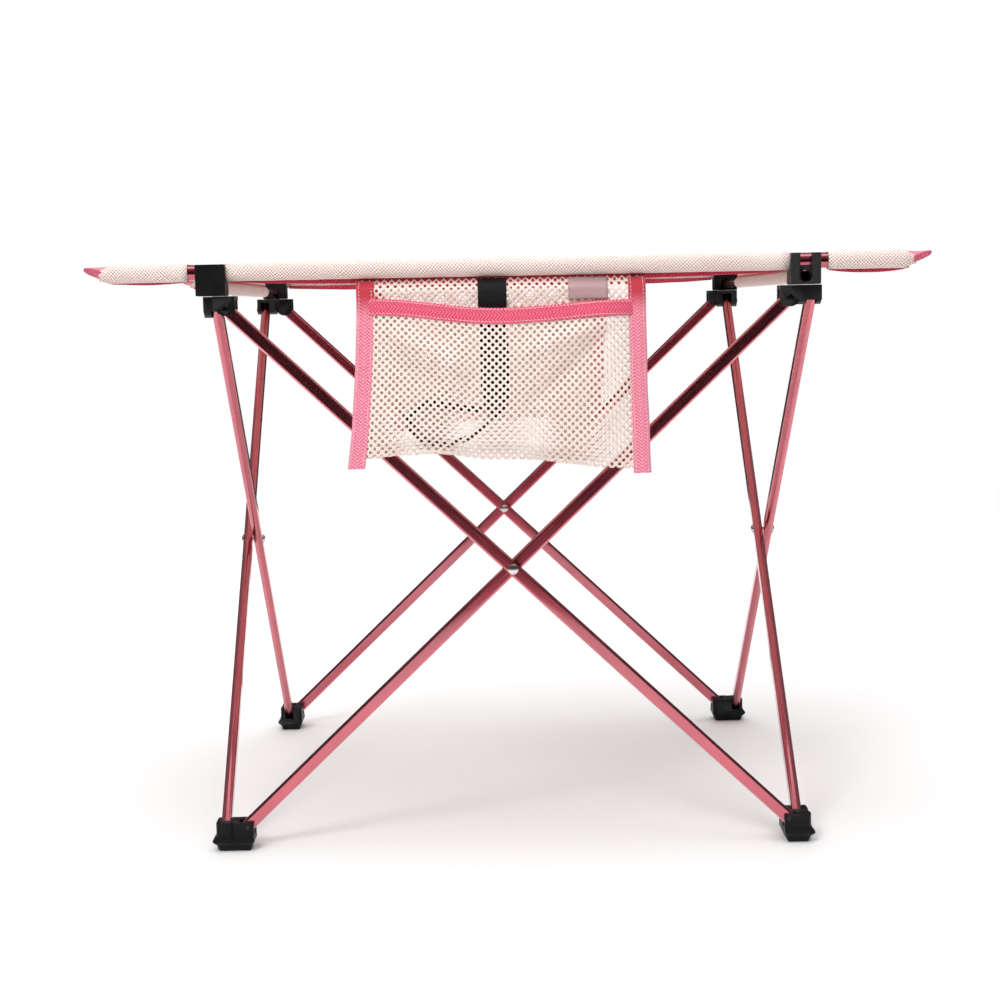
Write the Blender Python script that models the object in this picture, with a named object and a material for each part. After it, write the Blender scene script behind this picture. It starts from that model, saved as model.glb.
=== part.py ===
"""Roll-top folding camp table on a four-sided scissor frame.

The origin is on the floor at the centre of the footprint, +Z is up, +X runs along
the long rails and the front is at -Y. Every value is in metres.
Each side is one scissor of two legs. Seen from outside, the leg whose top is on the
left is the outer one, so the frame looks the same after each quarter turn about Z.
"""
import math

import bmesh
import bpy
from mathutils import Matrix, Vector

# Driving dimensions of the scissor frame
HALF_SPAN = 0.247          # from the centre to each leg pivot, along X and along Y
PIVOT_TOP = 0.490          # height of the pivots in the brackets
PIVOT_FOOT = 0.022         # height of the pivots in the feet
LEG_PLANE = 0.263          # mid plane of a scissor, from the centre
LEG_LAYER = 0.0052         # each leg of a scissor lies this far to one side of it
TUBE_WIDTH = 0.012         # leg tube, across the scissor's plane
TUBE_DEPTH = 0.009         # leg tube, through the scissor's plane
TUBE_CORNER = 0.0018
TUBE_WALL = 0.0011
LEG_OVERHANG = 0.005       # tube beyond each end pivot
PIN_RADIUS = 0.002
HOLE_RADIUS = 0.0023
RIVET_HEAD = 0.0038
CLEARANCE = 0.0003

# Driving dimensions of the brackets and feet
BRACKET_ROOF = 0.4982      # underside of the roof plate
BRACKET_TOP = 0.5018
BRACKET_EAR = 0.004
EAR_HALF = 0.0083          # half of an ear's width
END_WALL = 0.0028
ROOF_LAP = 0.0030          # the front clevis's roof runs this far past its back ear
INNER_EAR = 0.0064         # outer ear of the inner leg's clevis
INNER_CHEEK = 0.0055       # and its inner ear
EAR_DROP = 0.0055          # lowest point of the front ears below the pivot
INNER_EAR_DROP = 0.0070
END_WALL_DROP = 0.0015
WEB_GAP = 0.0006           # the two clevises stay this far apart
PIN_HEAD = 0.0034
FOOT_TOP = 0.0260
FOOT_FLOOR = 0.0138        # bottom of the leg slots
FOOT_BLOCK = (-0.0290, -0.0205, 0.0056, 0.0040)   # low and high x, y about the pivot point
FOOT_CORNER = 0.0040       # radius of the outermost corner
FOOT_EDGE = 0.0018         # and of the three others
FOOT_GROOVE_X = -0.0142    # the front face dips here, between the two leg sockets
FOOT_GROOVE_DEPTH = 0.0022
FOOT_GROOVE_HALF = 0.0050
# Height, how far the outline grows on the outer and on the inner sides, and the share of the groove's depth
FOOT_STEPS = ((0.0, -0.0022, -0.0040, 0.0), (0.0012, -0.0010, -0.0030, 0.0), (0.0050, -0.0002, -0.0014, 0.0),
              (0.0086, 0.0034, 0.0002, 0.0), (0.0102, 0.0034, 0.0002, 0.3), (0.0138, 0.0, 0.0, 1.0),
              (FOOT_TOP, 0.0, 0.0, 1.0))

# Driving dimensions of the top
RAIL_Y = 0.270
RAIL_Z = 0.5223
RAIL_RADIUS = 0.0065
RAIL_WALL = 0.0009
RAIL_END = 0.348
CROSS_X = 0.259
CROSS_Z = 0.5092
CROSS_RADIUS = 0.005
CROSS_WALL = 0.0008
CROSS_END = 0.2775
CLIP_WIDTH = 0.026
CLIP_DEPTH = 0.024
CLIP_BASE = 0.5021
CLIP_TOP = 0.5292
CLIP_Y = 0.2695            # centre of a clip's depth
CLOTH_TOP = 0.5301
CLOTH_THICK = 0.0012
CLOTH_END = 0.3517
TABLE_END = 0.370
SLEEVE_INNER = 0.0069
SLEEVE_OUTER = 0.0077
SLEEVE_MID_END = 0.2447    # the sleeves stop here on the inner side of the clips
SLEEVE_OUT_START = 0.2793  # and start again here on the outer side
TUNNEL_Y = (-0.236, 0.145)  # the cross rails' cloth tunnels leave their rear ends bare
TUNNEL_INNER, TUNNEL_OUTER = 0.0053, 0.0061
POCKET_BACK = 0.2794
POCKET_DEPTH = 0.024       # at the bottom, and less at the mouth
POCKET_MOUTH_DEPTH = 0.013
POCKET_EDGE = 0.003
POCKET_WALL = 0.0012
POCKET_BOTTOM = 0.350
POCKET_FRONT_TOP = 0.485
POCKET_BACK_TOP = 0.513
EDGE_HALF = 0.274          # half of an edge binding's length
EDGE_DEPTH = 0.0027
STRAP_X = (-0.0270, -0.0015)
STRAP_Y = (-0.2836, -0.2820)
STRAP_TOP, STRAP_DROP_END = 0.5075, 0.4160
TAIL_Y = (-0.2905, -0.2822)
TAIL_HALF = 0.0010         # half of the strap's thickness where it lies on edge
TAIL_ROUTE = ((-0.0130, 0.4220), (-0.0150, 0.3980), (-0.0310, 0.3790), (-0.0580, 0.3695), (-0.0830, 0.3780),
              (-0.0885, 0.3950), (-0.0700, 0.4060), (-0.0450, 0.4010), (-0.0240, 0.3985))

LEG_LENGTH = math.hypot(2 * HALF_SPAN, PIVOT_TOP - PIVOT_FOOT)
LEG_ANGLE = math.atan2(PIVOT_TOP - PIVOT_FOOT, 2 * HALF_SPAN)
MID_HEIGHT = (PIVOT_TOP + PIVOT_FOOT) / 2
OUTER_PLANE = LEG_PLANE + LEG_LAYER
INNER_PLANE = LEG_PLANE - LEG_LAYER

# Faces of the two clevises of a corner, outwards from the corner's pivot point
SLOT_HALF = TUBE_DEPTH / 2 + CLEARANCE
OUTER_FACE = OUTER_PLANE - HALF_SPAN + SLOT_HALF
OUTER_BACK = OUTER_PLANE - HALF_SPAN - SLOT_HALF
INNER_FACE = INNER_PLANE - HALF_SPAN + SLOT_HALF
INNER_BACK = INNER_PLANE - HALF_SPAN - SLOT_HALF

SIDES = ("front", "right", "rear", "left")
CORNERS = ("front_left", "front_right", "rear_right", "rear_left")


def clear_scene():
    for old in list(bpy.data.objects):
        bpy.data.objects.remove(old, do_unlink=True)


def material(name, colour, roughness, metallic=0.0):
    made = bpy.data.materials.new(name)
    made.use_nodes = True
    shader = made.node_tree.nodes["Principled BSDF"]
    shader.inputs["Base Color"].default_value = (*colour, 1.0)
    shader.inputs["Roughness"].default_value = roughness
    shader.inputs["Metallic"].default_value = metallic
    made.diffuse_color = (*colour, 1.0)
    return made


# ---------------------------------------------------------------- basic solids

def finish_mesh(bm, name):
    bmesh.ops.recalc_face_normals(bm, faces=bm.faces)
    mesh = bpy.data.meshes.new(name)
    bm.to_mesh(mesh)
    bm.free()
    return mesh


def loft(rings, name="loft"):
    """A closed solid through rings of equal length, with flat ends."""
    bm = bmesh.new()
    loops = [[bm.verts.new(point) for point in ring] for ring in rings]
    count = len(loops[0])
    for low, high in zip(loops, loops[1:]):
        for i in range(count):
            j = (i + 1) % count
            bm.faces.new((low[i], low[j], high[j], high[i]))
    bm.faces.new(loops[0])
    bm.faces.new(loops[-1])
    return finish_mesh(bm, name)


def box(low, high):
    (x0, y0, z0), (x1, y1, z1) = low, high
    plan = ((x0, y0), (x1, y0), (x1, y1), (x0, y1))
    return loft([[(x, y, z) for x, y in plan] for z in (z0, z1)], "box")


def along(axis, a, b, t):
    """A point at (a, b) across the axis and t along it."""
    return {"X": (t, a, b), "Y": (a, t, b), "Z": (a, b, t)}[axis]


def prism(outline, axis, start, end):
    return loft([[along(axis, a, b, t) for a, b in outline] for t in (start, end)], "prism")


def circle(radius, a=0.0, b=0.0, segments=16):
    turn = 2 * math.pi / segments
    return [(a + radius * math.cos(i * turn), b + radius * math.sin(i * turn)) for i in range(segments)]


def rod(axis, radius, start, end, a=0.0, b=0.0, segments=16):
    return prism(circle(radius, a, b, segments), axis, start, end)


def rounded_rectangle(width, height, radius, steps=2):
    """Outline about the origin, with each corner an arc."""
    points = []
    for quarter in range(4):
        cx = (width / 2 - radius) * (1 if quarter in (0, 3) else -1)
        cy = (height / 2 - radius) * (1 if quarter in (0, 1) else -1)
        for step in range(steps + 1):
            angle = math.radians(90 * (quarter + step / steps))
            points.append((cx + radius * math.cos(angle), cy + radius * math.sin(angle)))
    return points


def combined(base, add=(), cut=()):
    """The mesh of base with the solids in add joined and those in cut removed."""
    scene = bpy.context.scene.collection
    host = bpy.data.objects.new("host", base)
    scene.objects.link(host)
    helpers = []
    for operation, meshes in (("UNION", add), ("DIFFERENCE", cut)):
        for mesh in meshes:
            helper = bpy.data.objects.new("helper", mesh)
            scene.objects.link(helper)
            helpers.append(helper)
            boolean = host.modifiers.new(operation, "BOOLEAN")
            boolean.operation = operation
            boolean.solver = "EXACT"
            boolean.object = helper
    graph = bpy.context.evaluated_depsgraph_get()
    result = bpy.data.meshes.new_from_object(host.evaluated_get(graph))
    for used in (*helpers, host):
        bpy.data.objects.remove(used, do_unlink=True)
    return result


# ---------------------------------------------------------------- placing

def joint_point(name, location):
    """An empty on a joint's axis, which carries the pieces of one moving body."""
    empty = bpy.data.objects.new(name, None)
    empty.location = location
    empty.empty_display_size = 0.02
    bpy.context.scene.collection.objects.link(empty)
    return empty


def place(name, mesh, look, matrix=None, parent=None, smooth=False):
    """One named piece, with its world matrix kept under its parent empty."""
    piece = bpy.data.objects.new(name, mesh)
    bpy.context.scene.collection.objects.link(piece)
    matrix = matrix or Matrix.Identity(4)
    if parent is not None:
        piece.parent = parent
        matrix = Matrix.Translation(-parent.location) @ matrix
    piece.matrix_basis = matrix
    if not mesh.materials:
        mesh.materials.append(look)
    if smooth:
        mesh.shade_smooth()
        mesh.set_sharp_from_angle(angle=math.radians(35))
    return piece


def quarter(k):
    return Matrix.Rotation(math.radians(90 * k), 4, "Z")


def corner_point(k, height):
    return quarter(k) @ Vector((-HALF_SPAN, -HALF_SPAN, height))


# ---------------------------------------------------------------- scissor frame

def leg_mesh():
    """A leg tube along X about its middle, with a hole at the middle and at each end pivot."""
    half = LEG_LENGTH / 2 + LEG_OVERHANG
    outside = rounded_rectangle(TUBE_DEPTH, TUBE_WIDTH, TUBE_CORNER)
    inside = rounded_rectangle(TUBE_DEPTH - 2 * TUBE_WALL, TUBE_WIDTH - 2 * TUBE_WALL, TUBE_CORNER / 2, 1)
    tube = prism(outside, "X", -half, half)
    bore = prism(inside, "X", -half - 0.001, half + 0.001)
    holes = [rod("Y", HOLE_RADIUS, -TUBE_DEPTH, TUBE_DEPTH, a=x, segments=10)
             for x in (-LEG_LENGTH / 2, 0.0, LEG_LENGTH / 2)]
    return combined(tube, cut=[bore, *holes])


def dome_rings(axis, radius, base, height, steps=2):
    """Rings of a domed head from its rim at base to near its crown."""
    rings = []
    for step in range(steps + 1):
        angle = math.radians(80 * step / steps)
        ring = circle(radius * math.cos(angle), segments=12)
        rings.append([along(axis, a, b, base + height * math.sin(angle)) for a, b in ring])
    return rings


def rivet_mesh():
    """A scissor rivet along Y about the scissor's mid plane: two domes, shank and washer."""
    reach = LEG_LAYER + TUBE_DEPTH / 2 + CLEARANCE
    washer = LEG_LAYER - TUBE_DEPTH / 2 - CLEARANCE
    shank = rod("Y", PIN_RADIUS, -reach - 0.0004, reach + 0.0004, segments=12)
    collar = rod("Y", 0.0048, -washer, washer, segments=12)
    heads = []
    for side in (-1, 1):
        flat = [along("Y", a, b, side * reach) for a, b in circle(RIVET_HEAD, segments=12)]
        heads.append(loft([flat, *dome_rings("Y", RIVET_HEAD, side * (reach + 0.0004), side * 0.0016)]))
    return combined(shank, add=[collar, *heads])


def bracket_pin_mesh(axis, start, end):
    """A pin with a low dome head at its outer end, which is at start."""
    shank = rod(axis, PIN_RADIUS, start - CLEARANCE - 0.0002, end, segments=12)
    flat = [along(axis, a, b, start - CLEARANCE) for a, b in circle(PIN_HEAD, segments=12)]
    head = loft([flat, *dome_rings(axis, PIN_HEAD, start - CLEARANCE - 0.0002, -0.0010)])
    return combined(shank, add=[head])


def ear_outline(half_width, top, bottom, steps=5):
    """A plate with square top corners and a round lower end."""
    points = [(half_width, top)]
    middle = bottom + half_width * 0.7
    for step in range(steps + 1):
        angle = math.pi * step / steps
        points.append((half_width * math.cos(angle), middle - half_width * 0.7 * math.sin(angle)))
    points.append((-half_width, top))
    return points


def bracket_mesh():
    """A top bracket about its corner's pivot point: a roof on two clevises at right angles."""
    roof = BRACKET_ROOF - PIVOT_TOP
    top = BRACKET_TOP - PIVOT_TOP
    bite = roof + 0.001
    wide = EAR_HALF
    wall = wide + END_WALL
    ear = ear_outline(wide, bite, -EAR_DROP)
    side_ear = ear_outline(wide, bite, -INNER_EAR_DROP)
    low_wall = -END_WALL_DROP
    plates = [
        prism(ear, "Y", -OUTER_FACE - BRACKET_EAR, -OUTER_FACE),
        prism(ear, "Y", -OUTER_BACK, -wide),
        prism(side_ear, "X", -INNER_FACE - INNER_EAR, -INNER_FACE),
        prism(side_ear, "X", -INNER_BACK, -INNER_BACK + INNER_CHEEK),
        box((-wall, -OUTER_FACE - BRACKET_EAR, low_wall), (-wide + 0.0001, -wide, bite)),
        box((-INNER_FACE - INNER_EAR, -wall, low_wall), (-WEB_GAP, -wide + 0.0001, bite)),
        box((-INNER_FACE - INNER_EAR, -wall, roof), (-WEB_GAP, wide, top - 0.00005)),
    ]
    plan_roof = box((-wall, -OUTER_FACE - BRACKET_EAR, roof), (wide, -wide + ROOF_LAP, top))
    holes = [
        rod("Y", HOLE_RADIUS, -OUTER_FACE - 0.006, -wide - WEB_GAP, segments=10),
        rod("X", HOLE_RADIUS, -INNER_FACE - 0.008, -0.0008, segments=10),
    ]
    return combined(plan_roof, add=plates, cut=holes)


def foot_outline(outer, inner, groove, steps=3):
    """Plan of a foot, anticlockwise: a rectangle with round corners and a smooth groove in its front face."""
    x0, y0, x1, y1 = (edge + grow for edge, grow in zip(FOOT_BLOCK, (-outer, -outer, inner, inner)))
    corners = ((x1, y1, -1, -1, FOOT_EDGE, 0), (x0, y1, 1, -1, FOOT_EDGE, 90),
               (x0, y0, 1, 1, FOOT_CORNER, 180), (x1, y0, -1, 1, FOOT_EDGE, 270))
    points = []
    for x, y, right, up, radius, start in corners:
        if start == 270:
            for share in (-1.0, -0.6, -0.25, 0.0, 0.25, 0.6, 1.0):
                dip = groove * FOOT_GROOVE_DEPTH * (1 - abs(share)) ** 2
                points.append((FOOT_GROOVE_X + share * FOOT_GROOVE_HALF, y0 + dip))
        for step in range(steps + 1):
            angle = math.radians(start + 90 * step / steps)
            points.append((x + radius * (right + math.cos(angle)), y + radius * (up + math.sin(angle))))
    return points


def foot_mesh():
    """A foot about its corner's pivot point: a block on a flared ledge and a sole, with two leg slots."""
    rings = []
    for height, outer, inner, groove in FOOT_STEPS:
        rings.append([(x, y, height - PIVOT_FOOT) for x, y in foot_outline(outer, inner, groove)])
    floor = FOOT_FLOOR - PIVOT_FOOT
    over = FOOT_TOP
    slots = [
        box((-EAR_HALF, -INNER_FACE, floor), (0.02, -INNER_BACK, over)),
        box((-OUTER_FACE, -EAR_HALF, floor), (-OUTER_BACK, 0.02, over)),
    ]
    holes = [
        rod("Y", HOLE_RADIUS, -0.030, -0.0022, segments=10),
        rod("X", HOLE_RADIUS, -0.040, -0.0087, segments=10),
    ]
    return combined(loft(rings), cut=[*slots, *holes])


def leg_matrix(k, plane, sign):
    """Where a leg of side k stands at rest; sign is +1 when it falls towards the next corner."""
    stand = Matrix.Translation((0.0, -plane, MID_HEIGHT)) @ Matrix.Rotation(sign * LEG_ANGLE, 4, "Y")
    return quarter(k) @ stand


def build_frame(looks):
    leg = leg_mesh()
    rivet = rivet_mesh()
    bracket = bracket_mesh()
    foot = foot_mesh()
    top_outer_pin = bracket_pin_mesh("Y", -OUTER_FACE - BRACKET_EAR, -EAR_HALF - 0.0009)
    top_inner_pin = bracket_pin_mesh("X", -INNER_FACE - INNER_EAR, -0.0011)
    foot_inner_pin = rod("Y", PIN_RADIUS, -0.0203, -0.0025, segments=12)
    foot_outer_pin = rod("X", PIN_RADIUS, -0.0288, -0.0090, segments=12)
    for k, side in enumerate(SIDES):
        before = SIDES[k - 1]
        turn = quarter(k)
        high = corner_point(k, PIVOT_TOP)
        low = corner_point(k, PIVOT_FOOT)
        at_top = Matrix.Translation(high) @ turn
        at_foot = Matrix.Translation(low) @ turn
        head = joint_point(CORNERS[k] + "_bracket_pivot", high)
        sole = joint_point(CORNERS[k] + "_foot_pivot", low)
        place("bracket_" + CORNERS[k], bracket, looks["nylon"], at_top, head)
        place("top_pin_" + side + "_outer", top_outer_pin, looks["steel"], at_top, head, True)
        place("top_pin_" + before + "_inner", top_inner_pin, looks["steel"], at_top, head, True)
        place("foot_" + CORNERS[k], foot, looks["nylon"], at_foot, sole)
        place("foot_pin_" + side + "_inner", foot_inner_pin, looks["black_steel"], at_foot, sole, True)
        place("foot_pin_" + before + "_outer", foot_outer_pin, looks["black_steel"], at_foot, sole, True)
        outer = joint_point(side + "_outer_pivot", turn @ Vector((-HALF_SPAN, -OUTER_PLANE, PIVOT_TOP)))
        inner = joint_point(side + "_inner_pivot", turn @ Vector((0.0, -INNER_PLANE, MID_HEIGHT)))
        middle = turn @ Matrix.Translation((0.0, -LEG_PLANE, MID_HEIGHT))
        place("leg_" + side + "_outer", leg, looks["legs"], leg_matrix(k, OUTER_PLANE, 1), outer, True)
        place("leg_" + side + "_inner", leg, looks["legs"], leg_matrix(k, INNER_PLANE, -1), inner, True)
        place("rivet_" + side, rivet, looks["steel"], middle, outer, True)


# ---------------------------------------------------------------- top rails and clips

def tube(axis, radius, wall, start, end, a, b, segments=16):
    outside = rod(axis, radius, start, end, a, b, segments)
    bore = rod(axis, radius - wall, start - 0.001, end + 0.001, a, b, segments)
    return combined(outside, cut=[bore])


def build_rails(looks, carrier):
    for side, y in (("front", -RAIL_Y), ("rear", RAIL_Y)):
        for end, sign in (("left", -1), ("right", 1)):
            start, stop = sorted((sign * 0.00015, sign * RAIL_END))
            half = tube("X", RAIL_RADIUS, RAIL_WALL, start, stop, y, RAIL_Z, 24)
            place("rail_" + side + "_" + end, half, looks["rails"], None, carrier, True)
            place("rail_cap_" + side + "_" + end, cap_mesh(y, sign), looks["nylon"], None, carrier, True)
        ferrule = tube("X", 0.0053, 0.0009, -0.040, 0.040, y, RAIL_Z)
        place("ferrule_" + side, ferrule, looks["bare"], None, carrier, True)
        cord = rod("X", 0.0015, -0.3355, 0.3355, y, RAIL_Z, 8)
        place("shock_cord_" + side, cord, looks["cord"], None, carrier, True)
    for end, x in (("left", -CROSS_X), ("right", CROSS_X)):
        cross = tube("Y", CROSS_RADIUS, CROSS_WALL, -CROSS_END, CROSS_END, x, CROSS_Z)
        place("cross_rail_" + end, cross, looks["rails"], None, carrier, True)


def cap_mesh(y, sign):
    """An end cap: a plug inside the rail with a flange over its end."""
    inner, seat, face = 0.336, RAIL_END + CLEARANCE, RAIL_END + 0.0023
    steps = ((inner, 0.0048), (inner + 0.001, 0.0052), (seat, 0.0052), (seat, RAIL_RADIUS),
             (face - 0.0008, RAIL_RADIUS), (face, RAIL_RADIUS - 0.0012))
    rings = [[(sign * x, a, b) for a, b in circle(radius, y, RAIL_Z)] for x, radius in steps]
    return loft(rings)


def clip_mesh(open_front):
    """A rail clip about its seat's centre, front at -Y: a channel along X above a socket along Y."""
    half, deep = CLIP_WIDTH / 2, CLIP_DEPTH / 2
    tall = CLIP_TOP - CLIP_BASE
    rail_y = CLIP_Y - RAIL_Y
    rail_z = RAIL_Z - CLIP_BASE
    cross_z = CROSS_Z - CLIP_BASE
    bore = RAIL_RADIUS + CLEARANCE
    socket_end = -deep - 0.001 if open_front else -deep + 0.003
    cuts = [
        rod("X", bore, -half - 0.001, half + 0.001, rail_y, rail_z, 20),
        box((-half - 0.001, rail_y - 0.0058, rail_z), (half + 0.001, rail_y + 0.0058, tall + 0.001)),
        rod("Y", CROSS_RADIUS + CLEARANCE, socket_end, deep + 0.001, 0.0, cross_z, 20),
    ]
    if open_front:
        cuts.append(box((-0.0052, -deep - 0.001, cross_z), (0.0052, -deep + 0.006, tall + 0.001)))
    body = prism([(x, y + tall / 2) for x, y in rounded_rectangle(2 * half, tall, 0.0008, 1)], "Y", -deep, deep)
    return combined(body, cut=cuts)


def build_clips(looks, carrier):
    closed, opened = clip_mesh(False), clip_mesh(True)
    for k, (corner, mesh) in enumerate(zip(CORNERS, (closed, opened, closed, opened))):
        x = CROSS_X if k in (1, 2) else -CROSS_X
        y = CLIP_Y if k in (2, 3) else -CLIP_Y
        turn = Matrix.Rotation(math.pi if k in (2, 3) else 0.0, 4, "Z")
        place("clip_" + corner, mesh, looks["nylon"], Matrix.Translation((x, y, CLIP_BASE)) @ turn, carrier)


# ---------------------------------------------------------------- cloth parts

def cloth_mesh():
    """The table sheet with its rail sleeves and its two tunnels for the cross rails."""
    under = CLOTH_TOP - CLOTH_THICK
    sheet = box((-CLOTH_END, -RAIL_Y, under), (CLOTH_END, RAIL_Y, CLOTH_TOP))
    adds, cuts = [], []
    for y in (-RAIL_Y, RAIL_Y):
        lengths = ((-0.346, -SLEEVE_OUT_START), (-SLEEVE_MID_END, SLEEVE_MID_END), (SLEEVE_OUT_START, 0.346))
        for x0, x1 in lengths:
            adds.append(rod("X", SLEEVE_OUTER, x0, x1, y, RAIL_Z))
            cuts.append(rod("X", SLEEVE_INNER, x0 - 0.001, x1 + 0.001, y, RAIL_Z))
        for sign in (-1, 1):
            xs = sorted((sign * SLEEVE_MID_END, sign * SLEEVE_OUT_START))
            ys = sorted((math.copysign(0.2568, y), math.copysign(0.280, y)))
            cuts.append(box((xs[0], ys[0], under - 0.002), (xs[1], ys[1], CLOTH_TOP + 0.002)))
    for x in (-CROSS_X, CROSS_X):
        start, stop = TUNNEL_Y
        adds.append(rod("Y", TUNNEL_OUTER, start, stop, x, CROSS_Z))
        web_low = (x - 0.001, start + 0.0005, CROSS_Z + 0.0055)
        adds.append(box(web_low, (x + 0.001, stop - 0.0005, under + 0.0006)))
        cuts.append(rod("Y", TUNNEL_INNER, start - 0.001, stop + 0.001, x, CROSS_Z))
    return combined(sheet, add=adds, cut=cuts)


def pocket_ring(x0, x1, z, depth, inset):
    """A lens-shaped plan of the pocket: flat at the back, bowed at the front."""
    back = -POCKET_BACK - inset
    points = [(x1 - inset, back, z), (x0 + inset, back, z)]
    steps = 12
    for step in range(steps + 1):
        t = step / steps
        bow = POCKET_EDGE + (depth - POCKET_EDGE) * 4 * t * (1 - t)
        points.append((x0 + inset + (x1 - x0 - 2 * inset) * t, -POCKET_BACK - bow + inset, z))
    return points


def pocket_mesh(top_range, foot_range):
    """An open-topped mesh bag whose back panel stands higher than its front."""
    bottom = (*foot_range, POCKET_DEPTH)
    mouth_size = (*top_range, POCKET_MOUTH_DEPTH)

    def ring(z, inset):
        t = (z - POCKET_BOTTOM) / (POCKET_BACK_TOP - POCKET_BOTTOM)
        x0, x1, depth = (low + (high - low) * t for low, high in zip(bottom, mouth_size))
        return pocket_ring(x0, x1, z, depth, inset)

    outer = loft([ring(z, 0.0) for z in (POCKET_BOTTOM, POCKET_BACK_TOP)])
    floor, above = POCKET_BOTTOM + POCKET_WALL, POCKET_BACK_TOP + 0.005
    hollow = loft([ring(z, POCKET_WALL) for z in (floor, above)])
    mouth = box((-0.2, -POCKET_BACK - 0.05, POCKET_FRONT_TOP), (0.2, -POCKET_BACK - POCKET_WALL, above))
    return combined(outer, cut=[hollow, mouth])


def strap_path(steps=24):
    """The curled tail of the roll strap in the X-Z plane, from a smooth curve through its points."""
    route = [Vector(point) for point in TAIL_ROUTE]
    points = []
    for i in range(steps + 1):
        place_on = i / steps * (len(route) - 1)
        j = min(int(place_on), len(route) - 2)
        t = place_on - j
        a, b, c, d = (route[max(0, min(len(route) - 1, j + o))] for o in (-1, 0, 1, 2))
        points.append(0.5 * (2 * b + (c - a) * t + (2 * a - 5 * b + 4 * c - d) * t * t
                             + (3 * b - a - 3 * c + d) * t ** 3))
    return points


def strap_mesh():
    """The roll strap: a flat drop from the hem and a curled tail lying in the front pocket."""
    path = strap_path()
    left, right = [], []
    for i, point in enumerate(path):
        run = (path[min(i + 1, len(path) - 1)] - path[max(i - 1, 0)]).normalized()
        side = Vector((-run.y, run.x)) * TAIL_HALF
        left.append(tuple(point + side))
        right.append(tuple(point - side))
    tail = prism(left + right[::-1], "Y", *TAIL_Y)
    drop = box((STRAP_X[0], STRAP_Y[0], STRAP_DROP_END), (STRAP_X[1], STRAP_Y[1], STRAP_TOP))
    return combined(drop, add=[tail])


def build_cloth(looks, carrier):
    place("table_cloth", cloth_mesh(), looks["cloth"], None, carrier, True)
    for end, sign in (("left", -1), ("right", 1)):
        xs = sorted((sign * (CLOTH_END + CLEARANCE), sign * TABLE_END))
        top = CLOTH_TOP - 0.0005
        edge = box((xs[0], -EDGE_HALF, top - EDGE_DEPTH), (xs[1], EDGE_HALF, top))
        place("edge_binding_" + end, edge, looks["webbing"], None, carrier)
    front = pocket_mesh((-0.136, 0.1205), (-0.145, 0.125))
    place("pocket_front", front, looks["net"], None, carrier)
    rear = pocket_mesh((-0.122, 0.149), (-0.111, 0.125))
    place("pocket_rear", rear, looks["net"], Matrix.Rotation(math.pi, 4, "Z"), carrier)
    place("roll_strap", strap_mesh(), looks["strap"], None, carrier)


def build_looks():
    return {
        "legs": material("anodised_legs", (0.36, 0.03, 0.07), 0.28, 0.9),
        "rails": material("anodised_rails", (0.30, 0.03, 0.07), 0.25, 0.9),
        "bare": material("bare_aluminium", (0.62, 0.62, 0.64), 0.35, 0.9),
        "steel": material("bright_steel", (0.60, 0.60, 0.60), 0.22, 1.0),
        "black_steel": material("black_steel", (0.03, 0.03, 0.03), 0.4, 0.8),
        "nylon": material("black_nylon", (0.012, 0.012, 0.013), 0.45),
        "cord": material("elastic_cord", (0.05, 0.05, 0.05), 0.8),
        "cloth": material("cream_cloth", (0.84, 0.68, 0.62), 0.8),
        "webbing": material("pink_webbing", (0.78, 0.08, 0.18), 0.75),
        "net": material("cream_net", (0.86, 0.70, 0.62), 0.8),
        "strap": material("black_webbing", (0.015, 0.015, 0.017), 0.7),
    }


def main():
    clear_scene()
    looks = build_looks()
    build_frame(looks)
    carrier = joint_point("tabletop_seat", (0.0, 0.0, CLIP_BASE))
    build_rails(looks, carrier)
    build_clips(looks, carrier)
    build_cloth(looks, carrier)


main()
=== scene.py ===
import math

import bmesh
import bpy
from mathutils import Matrix, Vector, noise


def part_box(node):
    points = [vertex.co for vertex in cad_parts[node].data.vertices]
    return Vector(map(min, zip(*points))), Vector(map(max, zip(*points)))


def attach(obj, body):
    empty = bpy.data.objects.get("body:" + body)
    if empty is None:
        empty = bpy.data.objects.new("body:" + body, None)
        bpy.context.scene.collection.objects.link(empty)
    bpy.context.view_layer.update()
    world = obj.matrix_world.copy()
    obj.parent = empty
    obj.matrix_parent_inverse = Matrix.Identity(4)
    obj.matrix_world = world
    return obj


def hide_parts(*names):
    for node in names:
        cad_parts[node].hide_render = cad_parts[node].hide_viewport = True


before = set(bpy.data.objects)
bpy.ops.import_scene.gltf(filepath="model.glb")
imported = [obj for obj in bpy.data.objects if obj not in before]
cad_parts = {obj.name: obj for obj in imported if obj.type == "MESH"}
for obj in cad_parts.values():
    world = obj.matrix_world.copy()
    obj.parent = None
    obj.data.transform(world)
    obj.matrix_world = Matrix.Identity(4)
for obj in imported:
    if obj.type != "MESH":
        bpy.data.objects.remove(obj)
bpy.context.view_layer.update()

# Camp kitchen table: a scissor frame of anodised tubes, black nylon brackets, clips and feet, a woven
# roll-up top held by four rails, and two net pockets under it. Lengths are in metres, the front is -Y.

SIDES = ("front", "right", "rear", "left")
CORNERS = ("front_left", "front_right", "rear_right", "rear_left")

# ---------------------------------------------------------------------------------- shader helpers


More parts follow.
